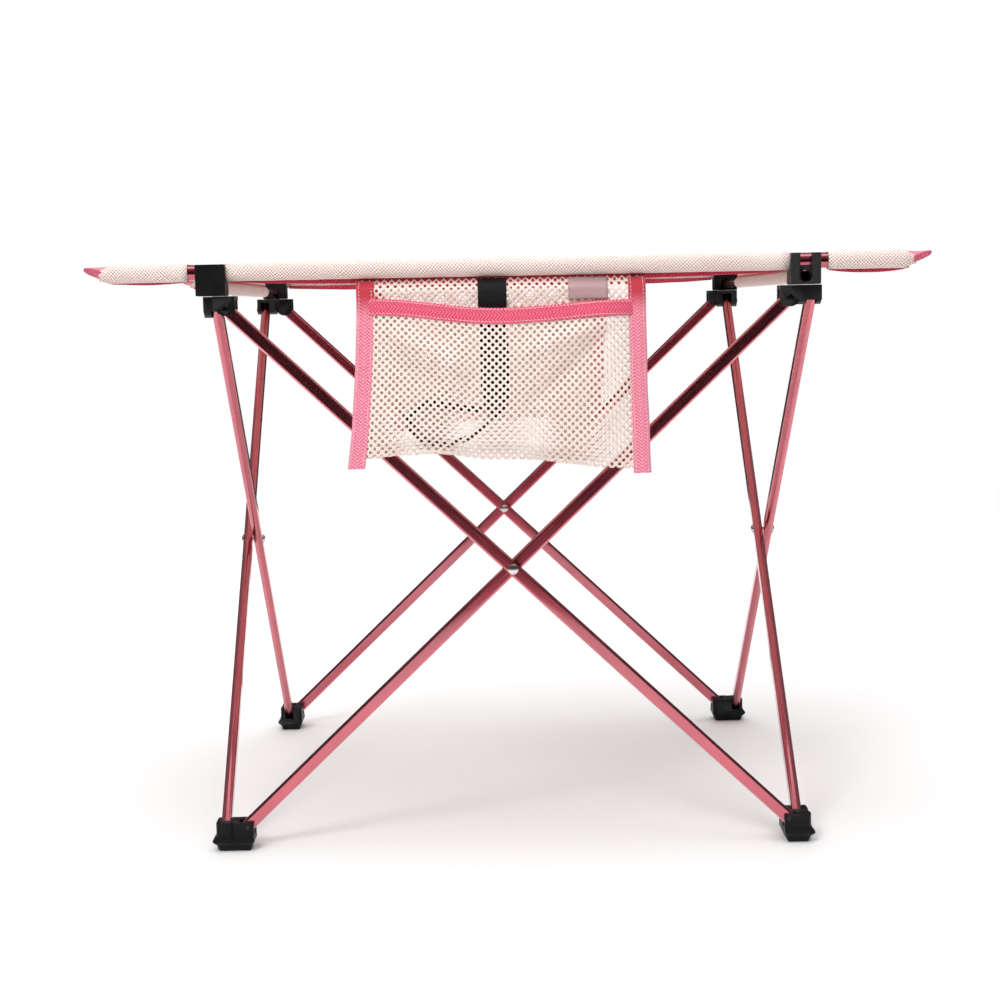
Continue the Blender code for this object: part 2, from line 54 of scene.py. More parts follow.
class Paint:
    """A Principled material and short ways to add procedural nodes to it."""

    def __init__(self, name, colour, **sockets):
        self.material = bpy.data.materials.new(name)
        self.material.use_nodes = True
        self.nodes = self.material.node_tree.nodes
        self.links = self.material.node_tree.links
        self.shader = self.nodes["Principled BSDF"]
        self.shader.inputs["Base Color"].default_value = (*colour, 1)
        for socket, value in sockets.items():
            self.shader.inputs[socket.replace("_", " ").title().replace("Ior", "IOR")].default_value = value

    def node(self, kind, inputs=(), **settings):
        made = self.nodes.new("ShaderNode" + kind)
        for key, value in settings.items():
            setattr(made, key, value)
        for socket, value in dict(inputs).items():
            self.feed(made.inputs[socket], value)
        return made

    def feed(self, socket, value):
        if isinstance(value, bpy.types.NodeSocket):
            self.links.new(value, socket)
        else:
            socket.default_value = value

    def math(self, operation, *values):
        return self.node("Math", dict(enumerate(values)), operation=operation).outputs[0]

    def stretch(self, source, scale):
        """The UV or Object coordinates, scaled per axis."""
        coords = self.node("TexCoord").outputs[source]
        return self.node("Mapping", {"Vector": coords, "Scale": scale}).outputs[0]

    def noise(self, vector, scale, detail=3.0, roughness=0.55):
        inputs = {"Vector": vector, "Scale": scale, "Detail": detail, "Roughness": roughness}
        return self.node("TexNoise", inputs).outputs[0]

    def ramp(self, value, low, high, to_low=0.0, to_high=1.0):
        inputs = {0: value, 1: low, 2: high, 3: to_low, 4: to_high}
        return self.node("MapRange", inputs, interpolation_type="SMOOTHSTEP").outputs[0]

    def mix(self, factor, first, second):
        made = self.node("Mix", data_type="RGBA")
        self.feed(made.inputs["Factor"], factor)
        for socket, colour in ((made.inputs[6], first), (made.inputs[7], second)):
            self.feed(socket, colour if isinstance(colour, bpy.types.NodeSocket) else (*colour, 1))
        return made.outputs[2]

    def colour(self, value):
        self.feed(self.shader.inputs["Base Color"], value)

    def rough(self, value):
        self.feed(self.shader.inputs["Roughness"], value)

    def bump(self, height, distance, strength=1.0):
        """Adds one bump on top of the last one."""
        made = self.node("Bump", {"Height": height, "Distance": distance, "Strength": strength})
        before = self.shader.inputs["Normal"].links
        if before:
            self.links.new(before[0].from_socket, made.inputs["Normal"])
        self.links.new(made.outputs[0], self.shader.inputs["Normal"])


def anodised(name, colour, roughness):
    """Dyed aluminium: extrusion streaks along the tube, a few handling marks."""
    p = Paint(name, colour, metallic=1.0, coat_weight=1.0, coat_roughness=0.08, coat_ior=1.8)
    streaks = p.noise(p.stretch("UV", (2600, 22, 1)), 1.0, 4.0, 0.6)
    cloudy = p.noise(p.stretch("UV", (60, 14, 1)), 1.0, 3.0)
    marks = p.noise(p.stretch("UV", (380, 160, 1)), 1.0, 6.0, 0.7)
    shade = p.math("ADD", p.math("MULTIPLY", streaks, 0.55), p.math("MULTIPLY", cloudy, 0.45))
    darker, lighter = [tuple(min(1, c * k) for c in colour) for k in (0.8, 1.16)]
    p.colour(p.mix(p.ramp(shade, 0.3, 0.7), darker, lighter))
    p.rough(p.math("ADD", p.ramp(streaks, 0.2, 0.8, roughness - 0.05, roughness + 0.06),
                   p.ramp(marks, 0.62, 0.74, 0.0, 0.12)))
    p.bump(streaks, 0.00002, 0.5)
    return p.material


def moulded(name, colour, roughness=0.42, grain=1500):
    """Glass-filled nylon: spark-eroded grain, faint flow clouds, and a painted highlight on the convex edges.
    """
    p = Paint(name, colour, specular_ior_level=0.20)
    where = p.stretch("Object", (1, 1, 1))
    fine = p.noise(where, grain, 2.0)
    clouds = p.noise(where, 90, 4.0)
    # convex edges are lightened by pointiness: a painted highlight
    painted_edge_highlight = p.ramp(p.node("NewGeometry").outputs["Pointiness"], 0.52, 0.6)
    light = tuple(min(1, 2.1 * c + 0.030) for c in colour)
    base = p.mix(p.ramp(clouds, 0.35, 0.7), colour, tuple(1.35 * c for c in colour))
    p.colour(p.mix(p.math("MULTIPLY", painted_edge_highlight, 0.6), base, light))
    p.rough(p.ramp(clouds, 0.3, 0.7, roughness - 0.05, roughness + 0.12))
    p.bump(fine, 0.00006, 0.6)
    return p.material


WEAVE_DRIFT = 7.0          # how unevenly the threads run, in radians


def woven(name, thread, gap, pitch, bump=0.00016, low=-0.55, high=0.25):
    """Plain-woven polyester with a fine dot where the threads cross, from UVs in metres."""
    p = Paint(name, thread, roughness=0.82, sheen_weight=0.12, sheen_roughness=0.5)
    uv = p.node("SeparateXYZ", {0: p.node("TexCoord").outputs["UV"]}).outputs
    drift = p.math("MULTIPLY", p.noise(p.stretch("UV", (70, 70, 1)), 1.0, 2.0), WEAVE_DRIFT)
    across, along = [p.math("COSINE", p.math("ADD", p.math("MULTIPLY", uv[i], 2 * math.pi / pitch), drift))
                     for i in (0, 1)]
    weave = p.math("MULTIPLY", across, along)
    dots = p.ramp(weave, low, high)
    slubs = p.noise(p.stretch("UV", (900, 260, 1)), 1.0, 3.0)
    clouds = p.noise(p.stretch("UV", (14, 14, 1)), 1.0, 3.0)
    pale = p.mix(p.ramp(slubs, 0.3, 0.75), thread, tuple(0.93 * c for c in thread))
    cloth = p.mix(dots, gap, pale)
    p.colour(p.mix(p.ramp(clouds, 0.35, 0.75, 0.0, 0.25), cloth, tuple(0.9 * c for c in thread)))
    p.rough(p.ramp(slubs, 0.2, 0.8, 0.74, 0.9))
    p.bump(weave, bump, 0.7)
    p.bump(slubs, 0.00005, 0.5)
    return p.material


def webbing(name, colour, dark, twill=0.0030, weave=0.0075, sheen=0.25, seam=None):
    """Herringbone tape: ribs that turn back every few millimetres across the width.

    seam is (low, high, shade): painted shade and painted red reflection under the hem; the tape darkens to
    this colour from one height to the other.
    """
    p = Paint(name, colour, roughness=0.7, sheen_weight=sheen, sheen_roughness=0.4)
    uv = p.node("SeparateXYZ", {0: p.node("TexCoord").outputs["UV"]}).outputs
    fold = p.math("PINGPONG", uv[0], weave / 2)
    phase = p.math("MULTIPLY", p.math("ADD", uv[1], fold), 2 * math.pi / twill)
    ribs = p.math("SINE", phase)
    turn = p.ramp(fold, 0.0, weave * 0.09)
    yarn = p.noise(p.stretch("UV", (1500, 1500, 1)), 1.0, 3.0)
    height = p.math("MULTIPLY", ribs, turn)
    tone = p.mix(p.ramp(height, -0.9, 0.5), dark, colour)
    tone = p.mix(p.ramp(yarn, 0.35, 0.8, 0.0, 0.35), tone, tuple(min(1, 1.2 * c + 0.02) for c in colour))
    if seam:
        height_up = p.node("SeparateXYZ", {0: p.node("TexCoord").outputs["Object"]}).outputs[2]
        # the tape darkens towards its top by height: painted shade and painted red reflection
        tone = p.mix(p.ramp(height_up, seam[0], seam[1], 0.0, 0.9), tone, seam[2])
    p.colour(tone)
    p.rough(p.ramp(yarn, 0.2, 0.8, 0.6, 0.8))
    p.bump(height, 0.00022, 0.7)
    p.bump(yarn, 0.00006, 0.5)
    return p.material


def knitted(name, colour, dark, back=None):
    """The pocket net's knitted strands: small loops seen as short oblique ribs.

    back is (start, stop, most, shade): painted shade on the net's hidden back panel, by distance down the
    net.
    """
    p = Paint(name, colour, roughness=0.75, sheen_weight=0.2, sheen_roughness=0.4)
    where = p.stretch("Object", (1, 1, 1))
    ribs = p.node("TexWave", {"Vector": where, "Scale": 330, "Distortion": 5.0, "Detail": 2.0,
                              "Detail Scale": 1.5}, bands_direction="DIAGONAL").outputs[1]
    yarn = p.noise(where, 1400, 2.0)
    tone = p.mix(p.ramp(ribs, 0.1, 0.75), dark, colour)
    if back:
        down = p.node("SeparateXYZ", {0: p.node("TexCoord").outputs["UV"]}).outputs[1]
        start, stop, most, shade = back
        begins = p.ramp(down, start, start + 0.02)
        # the back panel darkens by distance down the net: painted shade
        behind = p.math("MULTIPLY", begins, p.ramp(down, stop, stop + 0.04, most, 0.0))
        tone = p.mix(behind, tone, shade)
    p.colour(tone)
    p.rough(p.ramp(yarn, 0.2, 0.8, 0.65, 0.85))
    p.bump(ribs, 0.00014, 0.6)
    return p.material


def polished(name, colour, roughness):
    """Plated steel with small scratches."""
    p = Paint(name, colour, metallic=1.0)
    where = p.stretch("Object", (1, 1, 1))
    scratches = p.noise(where, 1100, 5.0, 0.7)
    p.colour(p.mix(p.ramp(scratches, 0.3, 0.75), tuple(0.8 * c for c in colour), colour))
    p.rough(p.ramp(scratches, 0.3, 0.75, roughness, roughness + 0.16))
    p.bump(scratches, 0.00002, 0.4)
    return p.material


LEG_RED = anodised("anodised_leg", (0.60, 0.092, 0.130), 0.24)
# darker than the legs' anodising: painted shade for the rails under the top and in the clips
RAIL_RED_PAINTED_SHADE = anodised("anodised_rail", (0.46, 0.040, 0.075), 0.2)
NYLON = moulded("black_nylon", (0.0045, 0.0045, 0.005))
CLOTH = woven("top_cloth", (0.93, 0.86, 0.81), (0.46, 0.20, 0.15), 0.0030)
PINK_TAPE = webbing("pink_tape", (0.93, 0.22, 0.33), (0.50, 0.03, 0.08))
# the side tapes' tops darken under the hem: painted shade and painted red reflection
POCKET_TAPE = webbing("pocket_tape", (0.95, 0.33, 0.43), (0.62, 0.10, 0.18),
                      seam=(0.478, 0.503, (0.47, 0.004, 0.02)))
RIM_TAPE = webbing("rim_tape", (0.86, 0.145, 0.235), (0.50, 0.025, 0.07))
# the pink binding darkened to deep red: painted shade for the hem under the top
HEM_TAPE_PAINTED_SHADE = webbing("hem_tape_painted_shade", (0.72, 0.05, 0.10), (0.40, 0.015, 0.04), weave=0.012)
BLACK_TAPE = webbing("black_tape", (0.006, 0.006, 0.0065), (0.002, 0.002, 0.002), sheen=0.0)
# the net's back panel gets a painted shade, darker and pinker than the front
NET = knitted("pocket_net", (0.98, 0.87, 0.81), (0.86, 0.63, 0.55),
              back=(0.020, 0.115, 0.25, (0.80, 0.55, 0.47)))
THREAD = knitted("stitch_thread", (0.92, 0.72, 0.74), (0.75, 0.45, 0.5))
# the label's colour is darkened as painted shade
LABEL_PAINTED_SHADE = woven("label_satin", (0.50, 0.34, 0.34), (0.42, 0.26, 0.26), 0.0006, bump=0.00003)
STEEL = polished("plated_steel", (0.78, 0.77, 0.76), 0.14)
# near-black pins for the top pivots, as dark as the holes they sit in
DARK_PIN = polished("near_black_pin", (0.05, 0.05, 0.052), 0.3)
FERRULE = polished("steel_ferrule", (0.55, 0.55, 0.56), 0.3)
ELASTIC = webbing("elastic_cord", (0.05, 0.05, 0.055), (0.01, 0.01, 0.011), twill=0.001, weave=0.002)

# -------------------------------------------------------------------------------- geometry helpers


def make_piece(name, mesh, material, body, matrix=None):
    """A piece with one material, in place and riding on its body."""
    mesh.materials.append(material)
    piece = bpy.data.objects.new(name, mesh)
    bpy.context.scene.collection.objects.link(piece)
    if matrix is not None:
        piece.matrix_world = matrix
    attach(piece, body)
    return piece


def smooth_mesh(mesh, angle=32):
    mesh.validate()
    for polygon in mesh.polygons:
        polygon.use_smooth = True
    if angle:
        mesh.set_sharp_from_angle(angle=math.radians(angle))
    mesh.update()
    return mesh


def skin(name, sections, closed=True, capped=False, skip=None, angle=32, uv_across=None, uv_along=None):
    """Quads through a row of point lists. UVs are metres across (u) and along (v)."""
    count = len(sections[0])
    spans = count if closed else count - 1
    mesh = bpy.data.meshes.new(name)
    faces, corners = [], []
    for i in range(len(sections) - 1):
        for j in range(spans):
            if skip and skip(i, j):
                continue
            k = (j + 1) % count
            faces.append((i * count + j, i * count + k, (i + 1) * count + k, (i + 1) * count + j))
            corners.append(((i, j), (i, j + 1), (i + 1, j + 1), (i + 1, j)))
    if capped:
        last = (len(sections) - 1) * count
        faces.append(tuple(reversed(range(count))))
        faces.append(tuple(last + j for j in range(count)))
    mesh.from_pydata([tuple(p) for section in sections for p in section], [], faces)
    middle = sections[len(sections) // 2]
    across = uv_across or run([*middle, middle[0]])
    along = uv_along or run([sum(map(Vector, s), Vector()) / count for s in sections])
    layer = mesh.uv_layers.new(name="metres").data
    place = 0
    for quad in corners:
        for i, j in quad:
            layer[place].uv = (across[j], along[i])
            place += 1
    return smooth_mesh(mesh, angle)


def run(points):
    """Distance along a list of points, from the first."""
    total, out = 0.0, [0.0]
    for a, b in zip(points, points[1:]):
        total += (Vector(b) - Vector(a)).length
        out.append(total)
    return out


def thicken(piece, thickness, offset=0.0):
    solid = piece.modifiers.new("thickness", "SOLIDIFY")
    solid.thickness = thickness
    solid.offset = offset
    solid.use_quality_normals = True
    return piece


def weighted(piece):
    piece.modifiers.new("normals", "WEIGHTED_NORMAL").keep_sharp = True
    return piece


def lerp(a, b, t):
    return a + (b - a) * t


def ease(t):
    t = min(1.0, max(0.0, t))
    return t * t * (3 - 2 * t)


def table(x, *pairs):
    """Smooth interpolation through (x, value) pairs."""
    if x <= pairs[0][0]:
        return pairs[0][1]
    for (x0, a), (x1, b) in zip(pairs, pairs[1:]):
        if x <= x1:
            return lerp(a, b, ease((x - x0) / (x1 - x0)))
    return pairs[-1][1]


def wobble(x, y, scale, seed=0.0):
    """Repeatable noise in -1..1."""
    return noise.noise(Vector((x * scale, y * scale, seed)))


def spread(start, stop, step):
    count = max(1, round(abs(stop - start) / step))
    return [lerp(start, stop, i / count) for i in range(count + 1)]


# ------------------------------------------------------------------------------------ metal frame

HALF_SPAN = 0.247                                  # from the middle to a corner's pivots
PIVOT_TOP, PIVOT_FOOT = 0.490, 0.022               # heights of the pivots in the brackets and the feet
LEG_PAST_PINS = 0.010                              # how much longer a leg is than its pivots' distance
OUTER_PLANE, INNER_PLANE = 0.2682, 0.2578          # the two layers of legs on each side
MID_HEIGHT = 0.256                                 # of the scissor pivots
LEG_ANGLE = math.atan2(PIVOT_TOP - PIVOT_FOOT, 2 * HALF_SPAN)
LEG_LENGTH = math.hypot(PIVOT_TOP - PIVOT_FOOT, 2 * HALF_SPAN) + LEG_PAST_PINS
LEG_WIDTH, LEG_DEPTH, LEG_CORNER, LEG_WALL, LEG_CROWN = 0.012, 0.009, 0.0016, 0.0011, 0.0008


def quarter(k):
    return Matrix.Rotation(k * math.pi / 2, 4, "Z")


def leg_section(inset):
    """(y, z) points: flat wide faces, round corners and slightly crowned narrow faces."""
    half_y, half_z = LEG_DEPTH / 2 - inset, LEG_WIDTH / 2 - inset
    radius = max(0.0005, LEG_CORNER - inset)
    points = []
    for sy, sz in ((1, 1), (-1, 1), (-1, -1), (1, -1)):
        corner = [math.radians(90 * i / 5) for i in range(6)]
        arc = [(half_y - radius * (1 - math.cos(a)), half_z - LEG_CROWN - radius * (1 - math.sin(a)))
               for a in corner]
        crown = [((half_y - radius) * (1 - k / 4), half_z - LEG_CROWN * (1 - k / 4) ** 2)
                 for k in range(1, 4)]
        run_round = arc + crown + ([(0, half_z)] if sy == sz else [])
        ordered = run_round if sy == sz else list(reversed(run_round))
        points += [(sy * y, sz * z) for y, z in ordered]
    return points


def leg_mesh():
    """A hollow tube along X with eased ends."""
    half, ease_in = LEG_LENGTH / 2, 0.0004
    sections = []
    for x, inset in ((-half, LEG_WALL), (-half, ease_in), (-half + ease_in, 0), (-half / 3, 0), (half / 3, 0),
                     (half - ease_in, 0), (half, ease_in), (half, LEG_WALL), (half / 3, LEG_WALL),
                     (-half / 3, LEG_WALL), (-half, LEG_WALL)):
        sections.append([(x, y, z) for y, z in leg_section(inset)])
    return skin("leg_tube", sections, uv_along=[x for x in (0, 0, 0.0004, 0.23, 0.46, 0.69, 0.69, 0.692,
                                                            0.93, 1.16, 1.4)])


def lathe(name, outline, segments=40):
    """outline is (along, radius) pairs, turned about Y."""
    sections = []
    for y, radius in outline:
        ring = [2 * math.pi * i / segments for i in range(segments)]
        sections.append([(radius * math.cos(a), y, radius * math.sin(a)) for a in ring])
    return skin(name, sections, capped=True, angle=40)


def build_legs():
    for k, side in enumerate(SIDES):
        for which, plane, sign in (("outer", OUTER_PLANE, 1), ("inner", INNER_PLANE, -1)):
            place = (quarter(k) @ Matrix.Translation((0, -plane, MID_HEIGHT))
                     @ Matrix.Rotation(sign * LEG_ANGLE, 4, "Y"))
            leg = make_piece(f"{side}_{which}_tube", leg_mesh(), LEG_RED, f"{side}_{which}_leg",
                             place)
            weighted(leg)
            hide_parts(f"leg_{side}_{which}")


def build_rivets():
    """A domed rivet through each pair of legs."""
    low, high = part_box("rivet_front")
    outer, inner = low.y, high.y
    head, shaft = (high.x - low.x) / 2, 0.0020
    dome = 0.0019
    face_out, face_in = -OUTER_PLANE - LEG_DEPTH / 2, -INNER_PLANE + LEG_DEPTH / 2
    outline = [(outer, 0.0002)]
    outline += [(outer + dome * (1 - math.cos(t)), head * math.sin(t)) for t in
                [math.pi / 2 * i / 8 for i in range(1, 9)]]
    outline += [(face_out, head), (face_out, shaft), (face_in, shaft), (face_in, head * 0.92)]
    outline += [(inner - dome * (1 - math.cos(t)), head * 0.92 * math.sin(t)) for t in
                [math.pi / 2 * i / 8 for i in range(8, 0, -1)]]
    outline += [(inner, 0.0002)]
    for k, side in enumerate(SIDES):
        place = quarter(k) @ Matrix.Translation((0, 0, MID_HEIGHT))
        rivet = make_piece(f"{side}_rivet", lathe("rivet", outline), STEEL, f"{side}_outer_leg",
                           place)
        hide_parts(f"rivet_{side}")


def straight_tube(name, start, stop, radius, wall, material, body="tabletop", segments=48):
    """A hollow round tube between two points, with eased ends."""
    start, stop = Vector(start), Vector(stop)
    axis = (stop - start).normalized()
    side = axis.cross((0, 0, 1)).normalized()
    up = side.cross(axis)
    length, e = (stop - start).length, 0.0004
    sections = []
    bore = radius - wall
    for t, r in ((0, bore), (0, radius - e), (e, radius), (length / 2, radius), (length - e, radius),
                 (length, radius - e), (length, bore), (length / 2, bore), (0, bore)):
        ring = [2 * math.pi * i / segments for i in range(segments)]
        sections.append([start + axis * t + r * (math.cos(a) * side + math.sin(a) * up) for a in ring])
    mesh = skin(name, sections,
                uv_along=[0, 0, e, length / 2, length, length, length, 1.5 * length, 2 * length])
    return weighted(make_piece(name, mesh, material, body))


RAIL_WALL, CROSS_WALL = 0.0011, 0.0010


def build_rails():
    """The long rails' halves and the cross rails."""
    for row in ("front", "rear"):
        for hand in ("left", "right"):
            low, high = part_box(f"rail_{row}_{hand}")
            y, z = (low.y + high.y) / 2, (low.z + high.z) / 2
            tube = straight_tube(f"{row}_rail_{hand}", (low.x, y, z), (high.x, y, z), (high.z - low.z) / 2,
                                 RAIL_WALL, RAIL_RED_PAINTED_SHADE)
            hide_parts(f"rail_{row}_{hand}")
    for hand in ("left", "right"):
        low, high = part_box(f"cross_rail_{hand}")
        x, z = (low.x + high.x) / 2, (low.z + high.z) / 2
        tube = straight_tube(f"cross_tube_{hand}", (x, low.y, z), (x, high.y, z), (high.z - low.z) / 2,
                             CROSS_WALL, RAIL_RED_PAINTED_SHADE)
        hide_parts(f"cross_rail_{hand}")


# ----------------------------------------------------------------------------------- nylon parts


def refine(node, name, body, bevel=0.0007, dissolve=4):
    """The CAD node's own shape as one clean mesh with moulded, rounded edges."""
    shape = bmesh.new()
    shape.from_mesh(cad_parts[node].data)
    bmesh.ops.remove_doubles(shape, verts=shape.verts, dist=0.00002)
    bmesh.ops.dissolve_limit(shape, angle_limit=math.radians(dissolve), verts=shape.verts, edges=shape.edges)
    sharp = [e for e in shape.edges if len(e.link_faces) == 2 and e.calc_face_angle(0) > math.radians(28)]
    bmesh.ops.bevel(shape, geom=sharp, offset=bevel, segments=3, profile=0.6, affect="EDGES",
                    clamp_overlap=True, miter_outer="ARC")
    mesh = bpy.data.meshes.new(name)
    shape.to_mesh(mesh)
    shape.free()
    piece = weighted(make_piece(name, smooth_mesh(mesh, 40), NYLON, body))
    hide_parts(node)
    return piece


def build_nylon():
    for corner in CORNERS:
        refine(f"bracket_{corner}", f"{corner}_bracket_moulding", f"{corner}_bracket")
        refine(f"foot_{corner}", f"{corner}_foot_moulding", f"{corner}_foot")
        refine(f"clip_{corner}", f"{corner}_rail_clip", "tabletop")
        build_cap(corner)


def build_cap(corner):
    """The domed plug in a long rail's open end."""
    low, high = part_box(f"rail_cap_{corner}")
    radius = (high.z - low.z) / 2
    tip, root = (high.x, low.x) if high.x > 0 else (low.x, high.x)
    sense = 1 if tip > 0 else -1
    flange = tip - sense * 0.0022
    outline = [(root, 0.001), (root, 0.0050), (flange, 0.0052), (flange, radius - 0.0002)]
    outline += [(lerp(flange, tip, math.sin(t)), 0.0004 + (radius - 0.0004) * math.cos(t)) for t in
                [math.pi / 2 * i / 8 for i in range(9)]]
    y, z = (low.y + high.y) / 2, (low.z + high.z) / 2
    place = Matrix.Translation((0, y, z)) @ Matrix.Rotation(-math.pi / 2, 4, "Z")
    cap = make_piece(f"{corner}_rail_cap", lathe("cap", outline), NYLON, "tabletop", place)
    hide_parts(f"rail_cap_{corner}")


def dress_cad():
    """Better materials for the CAD nodes that stay."""
    finishes = {"top_pin": DARK_PIN, "foot_pin": NYLON, "ferrule": FERRULE, "shock_cord": ELASTIC}
    for name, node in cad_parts.items():
        for start, material in finishes.items():
            if name.startswith(start):
                for slot in node.material_slots:
                    slot.material = material


# --------------------------------------------------------------------------------------- table top

RAIL_Y = 0.270
TOP_Z = 0.5296
SLEEVE_RADIUS = 0.0073
SEAM_Y = 0.2562                    # where a sleeve is sewn to the top
NOTCH_X = (0.2458, 0.2793)         # the sleeves are cut away here, round the clips
TAPER_X, SHEET_X = 0.3450, 0.3562  # the sleeves flatten from here to the sheet's end
CELL = 0.0102                      # the sheet's mesh size


def sleeve_end(x):
    """0 in the sleeve's full part, 1 at its flattened end."""
    return ease((abs(x) - TAPER_X) / (SHEET_X - TAPER_X))


def end_lift(x):
    """The sleeve's flattened tips hang a little below the top."""
    return sleeve_end(x) * (-0.0030 if x > 0 else -0.0022)


def top_height(x, y):
    """The stretched top, with the slight slack between its rails."""
    slack = (1 - (y / SEAM_Y) ** 2) * (1 - min(1, abs(x) / 0.352) ** 6)
    ripple = wobble(x, y, 9, 1.0) * 0.0003 + wobble(x, y, 30, 2.0) * 0.0001
    return TOP_Z - 0.0011 * max(0, slack) + ripple * max(0, slack) + end_lift(x)


def half_profile(x):
    """(|y|, z) points from the middle of the top, over the long rail and back to the seam under the top."""
    t = sleeve_end(x)
    radius = lerp(SLEEVE_RADIUS, 0.0036 if x > 0 else 0.0046, t) + 0.00015 * wobble(x, 0, 60, 5.0)
    centre_z = TOP_Z - radius + end_lift(x) - 0.0012 * t
    centre_y = RAIL_Y + 0.0012 * t
    points = [(y, top_height(x, y)) for y in spread(0, SEAM_Y, CELL)]
    points.append((0.263, TOP_Z + end_lift(x) - 0.0006 * t))
    steps = 16
    for i in range(steps + 1):
        angle = math.radians(90 - 180 * i / steps)
        points.append((centre_y + radius * math.cos(angle), centre_z + radius * math.sin(angle)))
    bottom = centre_z - radius
    for share, y in ((0.06, 0.2655), (0.22, 0.2620), (0.5, 0.2590), (0.8, 0.2572), (0.96, 0.2568)):
        points.append((y, lerp(bottom, TOP_Z - 0.0012 + end_lift(x), share)))
    return points


def build_top():
    """One sheet: rear sleeve, top, front sleeve, cut away round the four clips."""
    xs = sorted({round(s * x, 6) for s in (-1, 1) for a, b, step in
                 ((0, NOTCH_X[0], CELL), (*NOTCH_X, 0.0070), (NOTCH_X[1], TAPER_X, 0.0063),
                  (TAPER_X, SHEET_X, 0.0014)) for x in spread(a, b, step)})
    sections = []
    for x in xs:
        half = half_profile(x)
        sections.append([(x, y, z) for y, z in reversed(half)] + [(x, -y, z) for y, z in half[1:]])
    half = half_profile(0)
    flat = len(spread(0, SEAM_Y, CELL)) - 1
    rows = len(sections[0])
    open_rows = len(half) - 1 - flat

    def notch(i, j):
        inside = NOTCH_X[0] - 1e-5 < abs(xs[i] + xs[i + 1]) / 2 < NOTCH_X[1]
        return inside and (j < open_rows or j >= rows - 1 - open_rows)

    mesh = skin("top_sheet", sections, closed=False, skip=notch, uv_along=xs)
    top = make_piece("top_sheet", mesh, CLOTH, "tabletop")
    thicken(top, 0.0008)
    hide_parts("table_cloth")
    return top


def hem_drop(x):
    """How far the hem tape hangs below the sleeve."""
    if abs(x) < NOTCH_X[0]:
        return 0.0010 + 0.0046 * max(0.0, 1 - (x / 0.2447) ** 2) ** 0.75
    t = (abs(x) - NOTCH_X[1]) / (0.352 - NOTCH_X[1])
    return 0.0008 + (0.0030 if x > 0 else 0.0014) * math.sin(math.pi * min(1, max(0, t)))


HEM_Y, HEM_TOP, HEM_BOTTOM = 0.2640, 0.5168, 0.5150


def build_hem(row, sign, x0, x1, part):
    """A folded tape sewn along the sleeve's seam, hanging just behind the rail."""
    sections = []
    for x in spread(x0, x1, 0.006):
        rise = 0.0012 * sleeve_end(x) + end_lift(x) + 0.003 * sleeve_end(x)
        top = HEM_TOP + rise
        bottom = HEM_BOTTOM + rise - hem_drop(x) + 0.0003 * wobble(x, 0, 40, 9.0 + sign)
        y = HEM_Y + 0.0010 * wobble(x, 1, 18, 7.0 + sign)
        low = y + 0.0008
        ring = [(y - 0.0007, top), (y + 0.0007, top), (low + 0.0009, bottom + 0.0006),
                (low + 0.0004, bottom), (low - 0.0004, bottom), (low - 0.0009, bottom + 0.0006)]
        sections.append([(x, sign * a, b) for a, b in ring])
    mesh = skin(f"hem_{row}_{part}", sections, capped=True,
                uv_across=[0, .0014, .007, .0075, .008, .014, .016])
    return make_piece(f"hem_{row}_{part}", mesh, HEM_TAPE_PAINTED_SHADE, "tabletop")


TUNNEL_Y = (-0.236, 0.145)  # the cross rails' rear ends stay bare
TUNNEL_RADIUS = 0.0054
WEB = ((0.0011, 0.5284), (0.0013, 0.5240), (0.0016, 0.5185), (0.0020, 0.5162))


def build_tunnel(hand, sign):
    """The cloth tunnel that hangs from the top and holds a cross rail, with a pink seam above the rail."""
    low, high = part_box(f"cross_rail_{hand}")
    cx, cz = (low.x + high.x) / 2, (low.z + high.z) / 2
    ring = []
    for i in range(25):
        angle = math.radians(68 - 316 * i / 24)
        ring.append((TUNNEL_RADIUS * math.cos(angle), cz + TUNNEL_RADIUS * math.sin(angle)))
    outline = [*WEB, *ring, *((-a, z) for a, z in reversed(WEB))]
    sections = []
    for y in spread(*TUNNEL_Y, 0.008):
        sway = 0.0003 * wobble(y, 0, 30, 3.0 + sign)
        sections.append([(cx + a + sway, y, z) for a, z in outline])
    mesh = skin(f"tunnel_{hand}", sections, closed=False)
    piece = make_piece(f"tunnel_{hand}", mesh, CLOTH, "tabletop")
    # the seam faces take the hem tape, with its painted shade
    mesh.materials.append(HEM_TAPE_PAINTED_SHADE)
    spans, seam = len(outline) - 1, len(WEB) - 1
    for polygon in mesh.polygons:
        polygon.material_index = int(polygon.index % spans in (seam, spans - seam - 1))
    return thicken(piece, 0.0006)


def build_edge_binding(hand, sign):
    """The pink tape folded round the sheet's short edge. It opens out over the sleeve's ends."""
    inner, outer = 0.3515, 0.3700
    sections = []
    for y in spread(-0.276, 0.276, 0.006):
        near = ease((abs(y) - 0.246) / 0.020)
        tip = ease((abs(y) - 0.2725) / 0.0035)
        mid_in = lerp(0.52860, 0.52180, near)
        mid_out = lerp(0.52820, 0.52760 if sign > 0 else 0.52680, near)
        half_in = lerp(0.00125, 0.0042 if sign > 0 else 0.0052, near) * (1 - 0.20 * tip)
        half_out = lerp(0.00115, 0.0028, near) * (1 - 0.20 * tip)
        ring = []
        for i in range(24):
            angle = 2 * math.pi * i / 24
            c, s = math.cos(angle), math.sin(angle)
            c = math.copysign(abs(c) ** 0.7, c)
            s = math.copysign(abs(s) ** 0.6, s)
            share = (c + 1) / 2
            x = lerp(inner + 0.002 * tip, outer - 0.0008 * tip + 0.0004 * wobble(y, 0, 25, 4.0 + sign), share)
            z = lerp(mid_in, mid_out, share) + s * lerp(half_in, half_out, share)
            z += 0.0003 * wobble(y, share, 30, 6.0)
            ring.append((sign * x, y, z))
        sections.append(ring)
    across = [0.042 * i / 24 for i in range(25)]
    mesh = skin(f"edge_tape_{hand}", sections, capped=True, uv_across=across)
    piece = make_piece(f"edge_tape_{hand}", mesh, PINK_TAPE, "tabletop")
    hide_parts(f"edge_binding_{hand}")
    return piece


